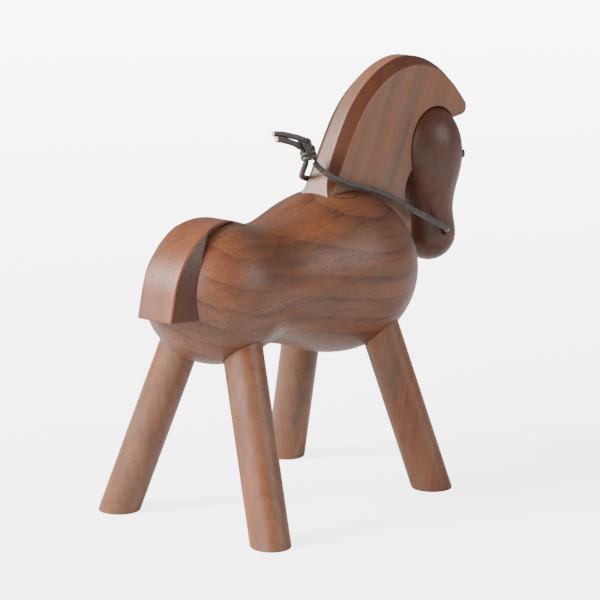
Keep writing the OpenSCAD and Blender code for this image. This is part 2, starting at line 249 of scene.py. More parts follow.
# ---------------------------------------------------------------- materials
class Nodes:
    """Builds a node tree: each call adds a node and returns one of its outputs."""

    def __init__(self, tree):
        self.tree = tree

    def add(self, kind, inputs=(), output=0, **settings):
        node = self.tree.nodes.new(kind)
        for key, value in settings.items():
            setattr(node, key, value)
        for key, value in dict(inputs).items():
            if isinstance(value, bpy.types.NodeSocket):
                self.tree.links.new(value, node.inputs[key])
            else:
                node.inputs[key].default_value = value
        return node.outputs[output]

    def math(self, operation, a, b=0.0, clamp=False):
        return self.add("ShaderNodeMath", {0: a, 1: b}, operation=operation, use_clamp=clamp)

    def vector(self, operation, a, b=(0, 0, 0), output=0):
        return self.add("ShaderNodeVectorMath", {0: a, 1: b}, output, operation=operation)

    def noise(self, vector, scale=1.0, detail=2.0, roughness=0.5, output=0):
        return self.add("ShaderNodeTexNoise", {
            "Vector": vector, "Scale": scale, "Detail": detail, "Roughness": roughness}, output)

    def steps(self, value, low, high, to_low=0.0, to_high=1.0):
        """A smooth step of value between low and high."""
        return self.add("ShaderNodeMapRange", {
            "Value": value, "From Min": low, "From Max": high, "To Min": to_low, "To Max": to_high,
        }, interpolation_type="SMOOTHSTEP")

    def mix(self, factor, a, b, blend="MIX"):
        node = self.tree.nodes.new("ShaderNodeMix")
        node.data_type = "RGBA"
        node.blend_type = blend
        for key, value in ((0, factor), (6, a), (7, b)):
            if isinstance(value, bpy.types.NodeSocket):
                self.tree.links.new(value, node.inputs[key])
            else:
                node.inputs[key].default_value = value
        return node.outputs[2]


def colour(red, green, blue):
    """A linear colour from display values of 0 to 255."""
    def linear(value):
        share = value / 255
        return share / 12.92 if share <= 0.04045 else ((share + 0.055) / 1.055) ** 2.4
    return (linear(red), linear(green), linear(blue), 1.0)


WOOD_SHARE = 0.6


def wood_colour(red, green, blue):
    """The oiled wood's own colour, darker than it shows under the studio light."""
    return tuple(WOOD_SHARE * c for c in colour(red, green, blue)[:3]) + (1.0,)


def new_material(name):
    material = bpy.data.materials.new(name)
    material.use_nodes = True
    tree = material.node_tree
    return material, Nodes(tree), tree.nodes["Principled BSDF"]


# How far the streaks and the fibres darken the wood
STREAK_DEPTH, FIBRE_DEPTH = 0.6, 0.3


def walnut(name, light, dark, grain, heart, ring_mm=6.0, ring_depth=0.5, pore_depth=0.55,
           roughness=0.42, seed=0.0, wander=0.8, joint_shade=None):
    """Oiled walnut. The grain runs along the first axis of the turned coordinates, and the growth
    rings lie round the heart, a point in the other two axes, in millimetres."""
    material, nodes, shader = new_material(name)
    place = nodes.add("ShaderNodeTexCoord", output=3)
    turned = nodes.add("ShaderNodeMapping", {
        "Vector": place, "Rotation": [math.radians(a) for a in grain], "Scale": (1000, 1000, 1000)})
    turned = nodes.vector("ADD", turned, (seed, seed * 0.7, seed * 1.3))
    # the fibres wander slowly
    slow = nodes.vector("MULTIPLY", turned, (0.012, 0.04, 0.04))
    drift = nodes.vector("SUBTRACT", nodes.noise(slow, detail=1.0, output=1), (0.5, 0.5, 0.5))
    bent = nodes.vector("ADD", turned, nodes.vector("MULTIPLY", drift, (0, 4 * wander, 4 * wander)))
    # thin dark lines of late wood, a growth ring apart
    middle = (seed, heart[0] + seed * 0.7, heart[1] + seed * 1.3)
    out = nodes.vector("MULTIPLY", nodes.vector("SUBTRACT", bent, middle), (0, 1, 1))
    radius = nodes.vector("LENGTH", out, output=1)
    uneven = nodes.noise(nodes.vector("MULTIPLY", bent, (0.006, 0.09, 0.09)), detail=1.0)
    phase = nodes.math("ADD", nodes.math("DIVIDE", radius, ring_mm),
                       nodes.math("MULTIPLY", uneven, 0.5))
    ring = nodes.math("FRACT", phase)
    rise = nodes.math("POWER", ring, 4.0)
    fall = nodes.steps(ring, 0.95, 1.0, 1.0, 0.0)
    late_wood = nodes.math("MULTIPLY", rise, fall)
    # long straight streaks, narrow and broad, and fine fibres
    broad = nodes.noise(nodes.vector("MULTIPLY", bent, (0.008, 0.13, 0.13)), detail=2.0)
    narrow = nodes.noise(nodes.vector("MULTIPLY", bent, (0.014, 0.62, 0.62)), detail=3.0)
    streaks = nodes.math("ADD", nodes.math("MULTIPLY", nodes.steps(broad, 0.34, 0.66), 0.55),
                         nodes.math("MULTIPLY", nodes.steps(narrow, 0.34, 0.68), 0.45))
    fibres = nodes.noise(nodes.vector("MULTIPLY", bent, (0.07, 2.2, 2.2)), detail=4.0, roughness=0.65)
    fibres = nodes.steps(fibres, 0.3, 0.72)
    # short dark pores, crowded in some places
    cells = nodes.add("ShaderNodeTexVoronoi", {
        "Vector": nodes.vector("MULTIPLY", bent, (0.22, 2.3, 2.3)), "Scale": 1.0, "Randomness": 1.0})
    crowd = nodes.noise(nodes.vector("MULTIPLY", bent, (0.03, 0.3, 0.3)), detail=1.0)
    reach = nodes.steps(crowd, 0.35, 0.7, 0.08, 0.4)
    pores = nodes.math("SUBTRACT", 1.0, nodes.math("DIVIDE", cells, reach), clamp=True)
    pores = nodes.steps(pores, 0.0, 0.6)
    # colour
    tone = nodes.math("MULTIPLY", late_wood, ring_depth)
    tone = nodes.math("ADD", tone, nodes.math("MULTIPLY", streaks, STREAK_DEPTH))
    tone = nodes.math("ADD", tone, nodes.math("MULTIPLY", fibres, FIBRE_DEPTH))
    tone = nodes.math("DIVIDE", tone, 1.2, clamp=True)
    wood = nodes.mix(tone, light, dark)
    blotch = nodes.noise(nodes.vector("MULTIPLY", bent, (0.022, 0.07, 0.07)), detail=2.0)
    warm = (1.12, 0.94, 0.8, 1.0)
    cool = (0.9, 1.0, 1.12, 1.0)
    wood = nodes.mix(1.0, wood, nodes.mix(nodes.steps(blotch, 0.36, 0.64), cool, warm), "MULTIPLY")
    pore_colour = tuple(0.25 * c for c in dark[:3]) + (1.0,)
    wood = nodes.mix(nodes.math("MULTIPLY", pores, pore_depth), wood, pore_colour)
    # a thin painted shadow line, in the pores' dark colour, on the torso round each leg where it meets
    # it
    if joint_shade:
        wood = nodes.mix(nodes.math("MULTIPLY", joint_shade(nodes, place), 0.85), wood, pore_colour)
    nodes.tree.links.new(wood, shader.inputs["Base Color"])
    gloss = nodes.math("ADD", roughness - 0.05, nodes.math("MULTIPLY", fibres, 0.1))
    nodes.tree.links.new(gloss, shader.inputs["Roughness"])
    height = nodes.math("SUBTRACT", nodes.math("MULTIPLY", fibres, 0.25), pores)
    bump = nodes.add("ShaderNodeBump", {"Height": height, "Strength": 0.3, "Distance": 0.0001})
    nodes.tree.links.new(bump, shader.inputs["Normal"])
    shader.inputs["Specular IOR Level"].default_value = 0.4
    return material


def eye_material():
    material, nodes, shader = new_material("polished_black")
    place = nodes.add("ShaderNodeTexCoord", output=3)
    dust = nodes.noise(place, scale=2500.0, detail=2.0)
    nodes.tree.links.new(nodes.mix(dust, (0.004, 0.004, 0.004, 1), (0.012, 0.01, 0.009, 1)),
                         shader.inputs["Base Color"])
    nodes.tree.links.new(nodes.steps(dust, 0.2, 0.8, 0.08, 0.16), shader.inputs["Roughness"])
    shader.inputs["Coat Weight"].default_value = 0.5
    shader.inputs["Coat Roughness"].default_value = 0.05
    return material


def leather_material(name, dark, light):
    """Dark waxed leather: small blotches, a fine grain and worn lighter spots."""
    material, nodes, shader = new_material(name)
    place = nodes.add("ShaderNodeTexCoord", output=3)
    blotches = nodes.noise(place, scale=500.0, detail=4.0, roughness=0.6)
    grain = nodes.add("ShaderNodeTexVoronoi", {"Vector": place, "Scale": 4500.0})
    tone = nodes.steps(blotches, 0.35, 0.75)
    nodes.tree.links.new(nodes.mix(tone, dark, light), shader.inputs["Base Color"])
    nodes.tree.links.new(nodes.steps(blotches, 0.3, 0.8, 0.36, 0.55), shader.inputs["Roughness"])
    height = nodes.math("ADD", nodes.math("MULTIPLY", grain, 0.5), blotches)
    bump = nodes.add("ShaderNodeBump", {"Height": height, "Strength": 0.5, "Distance": 0.0001})
    nodes.tree.links.new(bump, shader.inputs["Normal"])
    shader.inputs["Sheen Weight"].default_value = 0.15
    shader.inputs["Sheen Roughness"].default_value = 0.5
    return material


LEGS = {
    "leg_rear_left": (-59.4, 31.9, 0.165, -0.33, 67.0),
    "leg_rear_right": (-59.4, -31.9, 0.165, 0.33, 67.0),
    "leg_front_left": (25.2, 31.4, -0.164, -0.286, 63.0),
    "leg_front_right": (25.2, -31.4, -0.164, 0.286, 63.0),
}
LEG_R = 6.5


def leg_joint_painted_shade(nodes, place):
    """1 on a thin line of painted shade where the legs meet the torso, and 0 elsewhere."""
    line = None
    for x, y, lean_x, lean_y, _ in LEGS.values():
        axis = Vector((lean_x, lean_y, 1)).normalized()
        off = nodes.vector("SUBTRACT", place, (x * MM, y * MM, 0))
        side = nodes.vector("LENGTH", nodes.vector("CROSS_PRODUCT", off, tuple(axis)), output=1)
        gap = nodes.math("ABSOLUTE", nodes.math("SUBTRACT", side, (LEG_R + 0.15) * MM))
        edge = nodes.steps(gap, 0.0, 0.45 * MM, 1.0, 0.0)
        line = edge if line is None else nodes.math("MAXIMUM", line, edge)
    return line


def dowel_material():
    return walnut("beech", colour(196, 160, 120), colour(170, 130, 92), (0, 0, 0), (40, 20),
                  pore_depth=0.2, seed=31.0, roughness=0.6)


MANE_GRAIN = (0, 62, 0)
MANE_HEART = (90, 40)
MANE_RING = 4.2
TAIL_GRAIN = (0, 68, 0)
TAIL_HEART = (60, 30)
# the torso carries a painted shadow line round each leg joint
TORSO_WOOD = walnut("torso_walnut", wood_colour(134, 84, 54), wood_colour(74, 43, 27),
                    (0, -2.4, 0), (30, -26), ring_mm=6.5, seed=3.0, wander=0.25, joint_shade=leg_joint_painted_shade)
MANE_SIDE_WOOD = walnut("mane_side_walnut", wood_colour(146, 102, 74), wood_colour(106, 73, 54),
                        MANE_GRAIN, MANE_HEART, MANE_RING, ring_depth=0.4, seed=11.0, wander=0.4)
# the mane's bevel copy of the walnut is darkened as painted shade, and its back copy lightened as
# painted light
MANE_BEVEL_SHADED_WOOD = walnut("mane_bevel_painted_shade_walnut", wood_colour(104, 56, 30), wood_colour(66, 35, 20),
                         MANE_GRAIN, MANE_HEART, MANE_RING, ring_depth=0.3, seed=12.0, wander=0.5)
MANE_BACK_LIT_WOOD = walnut("mane_back_painted_light_walnut", wood_colour(152, 110, 86), wood_colour(122, 86, 64),
                        MANE_GRAIN, MANE_HEART, MANE_RING, ring_depth=0.3, seed=13.0, wander=0.5)
HEAD_WOOD = walnut("head_walnut", wood_colour(102, 60, 41), wood_colour(66, 36, 24),
                   (0, 80, 0), (70, 30), ring_mm=5.0, ring_depth=0.3, seed=23.0, wander=2.0)
# the tail's back copy of the walnut is lighter as painted light, and its side copy darker as painted
# shade
TAIL_BACK_LIT_WOOD = walnut("tail_back_painted_light_walnut", wood_colour(142, 88, 58), wood_colour(104, 62, 41),
                        TAIL_GRAIN, TAIL_HEART, ring_mm=4.5, ring_depth=0.35, seed=37.0)
TAIL_SIDE_SHADED_WOOD = walnut("tail_side_painted_shade_walnut", wood_colour(88, 48, 27), wood_colour(54, 29, 17),
                        TAIL_GRAIN, TAIL_HEART, ring_mm=3.5, ring_depth=0.4, seed=38.0)
LEG_WOODS = {
    name: walnut(name + "_walnut", wood_colour(146, 96, 66), wood_colour(92, 58, 38),
                 (0, math.degrees(math.atan(spec[2])) - 90, 0), (60 + 7 * i, 44 - 19 * i),
                 ring_mm=3.4, ring_depth=0.2, seed=47.0 + 17 * i, wander=0.4)
    for i, (name, spec) in enumerate(LEGS.items())}
EYE_BLACK = eye_material()
LEATHER = leather_material("rein_leather", colour(30, 22, 19), colour(64, 51, 44))
LEATHER_CUT = leather_material("rein_cut_face", colour(196, 132, 88), colour(232, 178, 130))
BEECH = dowel_material()


# ---------------------------------------------------------------- turned forms
RUMP_R, WAIST_R, CHEST_R, CHEST_DOME = 23.0, 19.6, 27.4, 31.0
WAIST_S, CHEST_S = 19.0, 58.5
TORSO_AXIS = Matrix.Translation((-47.8, 0, 74.9)) @ Matrix.Rotation(math.radians(92.4), 4, "Y")
HEAD_R, CROWN_H, BRIDGE_R, BRIDGE_S, MUZZLE_R, MUZZLE_S = 14.0, 16.4, 9.2, 22.5, 9.5, 29.0
CROWN_POWER = 0.87
HEAD_C = Vector((59.8, 0, 105.2))
HEAD_AXIS = Matrix.Translation(HEAD_C) @ Matrix.Rotation(math.radians(172), 4, "Y")


def ease(a, b, t):
    return a + (b - a) * (1 - math.cos(math.pi * t)) / 2


def torso_radius(s):
    """Radius of the torso at distance s along its axis from the rump's widest place."""
    if s <= 0:
        return math.sqrt(max(RUMP_R ** 2 - s ** 2, 0))
    if s <= WAIST_S:
        return ease(RUMP_R, WAIST_R, s / WAIST_S)
    if s <= CHEST_S:
        return ease(WAIST_R, CHEST_R, (s - WAIST_S) / (CHEST_S - WAIST_S))
    return CHEST_R * math.sqrt(max(1 - ((s - CHEST_S) / CHEST_DOME) ** 2, 0))


def head_radius(s, gap=0.0):
    """Radius of the head at distance s along its axis from the cheeks, or of a form that stands
    off from it by a gap."""
    if s <= 0:
        share = min(-s / (CROWN_H + gap), 1.0)
        return (HEAD_R + gap) * (1 - share ** (2 / CROWN_POWER)) ** (CROWN_POWER / 2)
    if s <= BRIDGE_S:
        return ease(HEAD_R, BRIDGE_R, s / BRIDGE_S) + gap
    if s <= MUZZLE_S:
        return ease(BRIDGE_R, MUZZLE_R, (s - BRIDGE_S) / (MUZZLE_S - BRIDGE_S)) + gap
    return math.sqrt(max((MUZZLE_R + gap) ** 2 - (s - MUZZLE_S) ** 2, 0))


def spread(low, high, count):
    """Stations from low to high that crowd together at both ends."""
    return [ease(low, high, k / count) for k in range(count + 1)]


def turned(name, stations, radius, matrix, material, sides):
    """A turned form with a closed point at each end."""
    points = [matrix @ Vector((0, 0, stations[0]))]
    for s in stations[1:-1]:
        r = radius(s)
        points += [matrix @ Vector((r * math.cos(a), r * math.sin(a), s))
                   for a in (2 * math.pi * k / sides for k in range(sides))]
    points.append(matrix @ Vector((0, 0, stations[-1])))
    rings = len(stations) - 2
    last = len(points) - 1
    faces = []
    for k in range(sides):
        n = (k + 1) % sides
        faces.append((0, 1 + n, 1 + k))
        faces.append((last, last - sides + k, last - sides + n))
        for i in range(rings - 1):
            a, b = 1 + i * sides, 1 + (i + 1) * sides
            faces.append((a + k, a + n, b + n, b + k))
    return mesh_piece(name, points, faces, material)


def torso_gap(point):
    """How far a point in millimetres is outside the torso, measured square to its axis."""
    local = TORSO_AXIS.inverted() @ point
    return math.hypot(local.x, local.y) - torso_radius(local.z)


def make_torso():
    stations = spread(-RUMP_R, 0, 36)[:-1] + spread(0, CHEST_S, 70)[:-1]
    stations += spread(CHEST_S, CHEST_S + CHEST_DOME, 40)
    piece = turned("torso_body", stations, torso_radius, TORSO_AXIS, TORSO_WOOD, 160)
    stands_for(piece, "torso_walnut", "torso")


def lathe(name, profile, matrix, material, sides=32):
    """A turned piece from a profile of (radius, distance along the axis) that starts and ends at 0."""
    points = []
    for r, s in profile:
        points += [matrix @ Vector((r * math.cos(a), r * math.sin(a), s))
                   for a in (2 * math.pi * k / sides for k in range(sides))]
    faces = [tuple(reversed(range(sides)))]
    for i in range(len(profile) - 1):
        a, b = i * sides, (i + 1) * sides
        faces += [(a + k, a + (k + 1) % sides, b + (k + 1) % sides, b + k) for k in range(sides)]
    faces.append(tuple(range(len(points) - sides, len(points))))
    return mesh_piece(name, points, faces, material)


MUZZLE_HOLE = (61.7, 78.7)
LACE_HOLE_R = 1.3


def make_head():
    """The head, with a hole through the muzzle for the rein."""
    stations = spread(-CROWN_H, 0, 30)[:-1] + spread(0, MUZZLE_S, 44)[:-1]
    stations += spread(MUZZLE_S, MUZZLE_S + MUZZLE_R, 26)
    piece = turned("head_body", stations, head_radius, HEAD_AXIS, HEAD_WOOD, 128)
    side = (Matrix.Translation((MUZZLE_HOLE[0], 0, MUZZLE_HOLE[1]))
            @ Matrix.Rotation(math.pi / 2, 4, "X"))
    flare = [(LACE_HOLE_R + 2.2, -11.4), (LACE_HOLE_R, -8.0), (LACE_HOLE_R, 8.0),
             (LACE_HOLE_R + 2.2, 11.4)]
    drill = lathe("muzzle_drill", flare, side, HEAD_WOOD, 40)
    cut = piece.modifiers.new("hole", "BOOLEAN")
    cut.object = drill
    cut.solver = "EXACT"
    bpy.context.view_layer.update()
    graph = bpy.context.evaluated_depsgraph_get()
    mesh = bpy.data.meshes.new_from_object(piece.evaluated_get(graph))
    piece.modifiers.clear()
    piece.data = mesh
    bpy.data.objects.remove(drill)
    for edge in mesh.edges:
        edge.use_edge_sharp = False
    stands_for(piece, "head_walnut", "head")


# ---------------------------------------------------------------- legs
FOOT_ROUND = 0.5


def make_leg(name):
    """A leaning dowel whose foot is cut level, with a softened edge."""
    x, y, lean_x, lean_y, top = LEGS[name]
    axis = Vector((lean_x, lean_y, 1)).normalized()
    across = axis.cross(Vector((0, 1, 0))).normalized()
    along = axis.cross(across)
    foot = Vector((x, y, 0))
    sides = 64
    length = top / axis.z

    def on_floor(r, angle, lift):
        """The point of a line along the leg that is lift above the floor."""
        arm = r * (math.cos(angle) * across + math.sin(angle) * along)
        return foot + arm + axis * ((lift - arm.z) / axis.z)

    angles = [2 * math.pi * k / sides for k in range(sides)]
    rings = []
    for k in range(6):
        turn = math.pi / 2 * k / 5
        r = LEG_R - FOOT_ROUND * (1 - math.sin(turn))
        lift = FOOT_ROUND * (1 - math.cos(turn))
        rings.append([on_floor(r, a, lift) for a in angles])
    for k in range(1, 24):
        t = 4 + (length - 4) * (k - 1) / 22
        rings.append([foot + axis * t + LEG_R * (math.cos(a) * across + math.sin(a) * along)
                      for a in angles])
    points = [p for ring in rings for p in ring]
    faces = [tuple(range(sides))]
    for i in range(len(rings) - 1):
        a, b = i * sides, (i + 1) * sides
        faces += [(a + k, b + k, b + (k + 1) % sides, a + (k + 1) % sides) for k in range(sides)]
    faces.append(tuple(reversed(range(len(points) - sides, len(points)))))
    piece = mesh_piece(name + "_dowel", points, faces, LEG_WOODS[name])
    weighted_normals(piece)
    stands_for(piece, "leg_walnut", name)


# ---------------------------------------------------------------- neck board
BOARD_HALF = 6.2
BEVEL = (3.8, 3.2)
BEVEL_FOOT = (0.6, 1.5)
BEVEL_SETTLES = 6.0
BEVEL_FADES_AT, BEVEL_FADE_L = 60.0, 34.0
CREST_START = (1.6, 98.7)
CREST_HEADING = 67.0
CREST_ARCS = ((12, 127), (41.7, 42.1), (58.6, 29.5), (1, 780))
TIP_TURN, TIP_R, TIP_STEPS = 123, 2.75, 12
SEAT_GAP, SEAT_BACK = 0.4, 0.35
FORELOCK_ROOT = (69.5, 115.6)
THROAT_C, THROAT_R = (53.8, 92.7), 11.0
TOE_X, TOE_Z, TOE_R = 46.5, 78.5, 3.0
EDGE_ROUND = 0.35
CREASE_ROUND = 0.3


def after_arc(place, turn, r):
    """The place [x, z, heading] after a clockwise turn on an arc of radius r."""
    x, z, heading = place
    a, b = math.radians(heading), math.radians(heading - turn)
    return (x + r * (math.sin(a) - math.sin(b)), z + r * (math.cos(b) - math.cos(a)), heading - turn)


def bevel_at(s):
    """The bevel's two legs, across the back and down the side, at distance s along the crest."""
    flare = math.exp(-max(s, 0) / BEVEL_SETTLES)
    fade = max(1 - (max(s - BEVEL_FADES_AT, 0) / BEVEL_FADE_L) ** 1.8, 0)
    legs = [(full * (1 - flare) + foot * flare) * fade for full, foot in zip(BEVEL, BEVEL_FOOT)]
    return [max(leg, EDGE_ROUND) for leg in legs]


def crest_path():
    """The back of the neck and the forelock's tip: (x, z, bevel) and so on."""
    heading = math.radians(CREST_HEADING)
    path = []
    for s in (-14, -10, -6, -3, -1):
        path.append((CREST_START[0] + s * math.cos(heading), CREST_START[1] + s * math.sin(heading),
                     bevel_at(0)))
    place, s = (*CREST_START, CREST_HEADING), 0.0
    for turn, r in CREST_ARCS:
        steps = max(4, round(math.radians(turn) * r / 1.3))
        for k in range(steps):
            x, z, _ = after_arc(place, turn * k / steps, r)
            path.append((x, z, bevel_at(s + math.radians(turn) * r * k / steps)))
        place, s = after_arc(place, turn, r), s + math.radians(turn) * r
    for k in range(TIP_STEPS + 1):
        x, z, _ = after_arc(place, TIP_TURN * k / TIP_STEPS, TIP_R)
        path.append((x, z, bevel_at(s)))
    return path


def in_seat(x, y, z):
    """Whether a point is in the hollow that takes the head."""
    place = HEAD_AXIS.inverted() @ Vector((x + SEAT_BACK, y, z))
    return math.hypot(place.x, place.y) < head_radius(place.z, SEAT_GAP)


def last_outside(path, y):
    """The last point of path(t), t from 0 to 1, that is still outside the head's hollow."""
    low, high = 0.0, 1.0
    for _ in range(30):
        t = (low + high) / 2
        x, z = path(t)
        if in_seat(x, y, z):
            high = t
        else:
            low = t
    return path(low)


def recess_and_throat(y, tip):
    """The outline from the forelock's tip round the head's hollow and the throat, at distance y
    from the middle of the board, and the numbers of its sharp corners."""
    middle = (HEAD_C.x - SEAT_BACK, HEAD_C.z)

    def underside(t):
        return tip[0] + (FORELOCK_ROOT[0] - 3 - tip[0]) * t, tip[1] + (FORELOCK_ROOT[1] - tip[1]) * t

    def throat(angle):
        return THROAT_C[0] + THROAT_R * math.cos(angle), THROAT_C[1] + THROAT_R * math.sin(angle)

    low_angle, high_angle = math.radians(150), math.radians(100)
    start = last_outside(underside, y)
    meet = last_outside(lambda t: throat(low_angle + (high_angle - low_angle) * t), y)
    points = [(tip[0] + (start[0] - tip[0]) * k / 6, tip[1] + (start[1] - tip[1]) * k / 6)
              for k in range(1, 6)]
    a = math.atan2(start[1] - middle[1], start[0] - middle[0])
    b = math.atan2(meet[1] - middle[1], meet[0] - middle[0]) % (2 * math.pi)
    corners = [len(points)]
    points.append(start)
    for k in range(1, 48):
        angle = a + (b - a) * k / 48

        def outwards(t):
            reach = 22 - 16 * t
            return middle[0] + reach * math.cos(angle), middle[1] + reach * math.sin(angle)
        points.append(last_outside(outwards, y))
    corners.append(len(points))
    a = math.atan2(meet[1] - THROAT_C[1], meet[0] - THROAT_C[0]) % (2 * math.pi)
    b = 2 * math.pi - math.acos((TOE_X - THROAT_C[0]) / THROAT_R)
    points += [throat(a + (b - a) * k / 24) for k in range(25)]
    corners.append(len(points) - 1)
    points += [(TOE_X, z) for z in (82.5, 81, 79.5)]
    points += [(TOE_X - TOE_R + TOE_R * math.cos(t), TOE_Z + TOE_R * math.sin(t))
               for t in (-math.pi / 2 * k / 5 for k in range(6))]
    points += [(38.0, TOE_Z - TOE_R), (32.0, TOE_Z - TOE_R)]
    return points, corners


def section(across, down):
    """Half of the board's edge, from its side face to the back: (y, height above the outline)."""
    length = math.hypot(across, down)
    soft = min(CREASE_ROUND, length / 3)
    u = (-across / length, down / length)
    side, back = (BOARD_HALF, -down), (BOARD_HALF - across, 0.0)
    level = []
    for corner, before, after in ((side, (0, -1), u), (back, (-u[0], -u[1]), (-1, 0))):
        a = (corner[0] + soft * before[0], corner[1] + soft * before[1])
        b = (corner[0] + soft * after[0], corner[1] + soft * after[1])
        for t in (0, 0.5, 1):
            level.append(tuple((1 - t) ** 2 * a[i] + 2 * t * (1 - t) * corner[i] + t * t * b[i]
                               for i in (0, 1)))
    return level


def make_board():
    """The neck board, lofted round its outline from one side face to the other."""
    crest = crest_path()
    tip = crest[-1][:2]
    count = len(crest) + len(recess_and_throat(0, tip)[0])
    corners = [len(crest) + c for c in recess_and_throat(0, tip)[1]]
    half = 5
    rows = []
    for i in range(count):
        legs = crest[i][2] if i < len(crest) else (EDGE_ROUND, EDGE_ROUND)
        edge = section(*legs)
        inner = edge[-1][0]
        flat = [(inner * (1 - k / half), 0.0) for k in range(1, half)] + [(0.0, 0.0)]
        near = edge + flat
        rows.append(near + [(-y, h) for y, h in reversed(near[:-1])])
    levels = len(rows[0])

    def base(i, y):
        """The outline's point i at distance y from the middle."""
        i %= count
        if i < len(crest):
            return crest[i][:2]
        return outlines[round(y, 4)][i - len(crest)]

    outlines = {}
    for row in rows:
        for y, _ in row:
            outlines.setdefault(round(y, 4), recess_and_throat(y, tip)[0])
    points = []
    for i in range(count):
        for y, h in rows[i]:
            ax, az = base(i - 1, y)
            bx, bz = base(i, y)
            cx, cz = base(i + 1, y)
            first = Vector((ax - bx, az - bz)).normalized()
            last = Vector((cx - bx, cz - bz)).normalized()
            along = (last - first).normalized()
            out = Vector((-along.y, along.x))
            points.append(Vector((bx + h * out.x, y, bz + h * out.y)))
    faces = []
    for i in range(count):
        a, b = i * levels, (i + 1) % count * levels
        faces += [(a + j, b + j, b + j + 1, a + j + 1) for j in range(levels - 1)]
    faces.append(tuple(reversed([i * levels for i in range(count)])))
    faces.append(tuple(i * levels + levels - 1 for i in range(count)))
    piece = mesh_piece("neck_board", points, faces, MANE_SIDE_WOOD)
    piece.data.materials.append(MANE_BEVEL_SHADED_WOOD)
    piece.data.materials.append(MANE_BACK_LIT_WOOD)
    # the crest's faces from one side to the other: side, bevel, back, bevel, side; the bevels take a
    # darker copy of the walnut as painted shade, and the back a lighter copy as painted light
    for number, face in enumerate(piece.data.polygons[:(len(crest) - TIP_STEPS - 1) * (levels - 1)]):
        j = number % (levels - 1)
        j = min(j, levels - 2 - j)
        face.material_index = 0 if j < 2 else 1 if j < 4 else 2
    sharp = {(c * levels + j, c * levels + j + 1) for c in corners for j in range(levels - 1)}
    for edge in piece.data.edges:
        a, b = sorted(edge.vertices)
        edge.use_edge_sharp = (a, b) in sharp
    weighted_normals(piece)
    piece.modifiers[0].keep_sharp = True
    stands_for(piece, "mane_walnut", "neck_and_mane")


# ---------------------------------------------------------------- tail
TAIL_C, TAIL_R = (-50.5, 73.0), 25.5
TAIL_HALF, TAIL_FLARE, TAIL_DEPTH = 6.8, 0.45, 12.0
TAIL_LEAN, TAIL_LOW_Z = 14.0, 70.6
TAIL_PLAN = ((-90, 10.5), (-67.5, 10.5), (-64, 8.7), (-58, 6.5), (-44.5, 4.8))
TAIL_ROUND = 0.45
TAIL_GAP = 0.45
TAIL_BACK_FROM = 10


def tail_limit(x):
    """Half the tail's greatest width at x, seen from above."""
    for (x0, w0), (x1, w1) in zip(TAIL_PLAN, TAIL_PLAN[1:]):
        if x <= x1:
            return w0 + (w1 - w0) * (x - x0) / (x1 - x0)
    return TAIL_PLAN[-1][1]


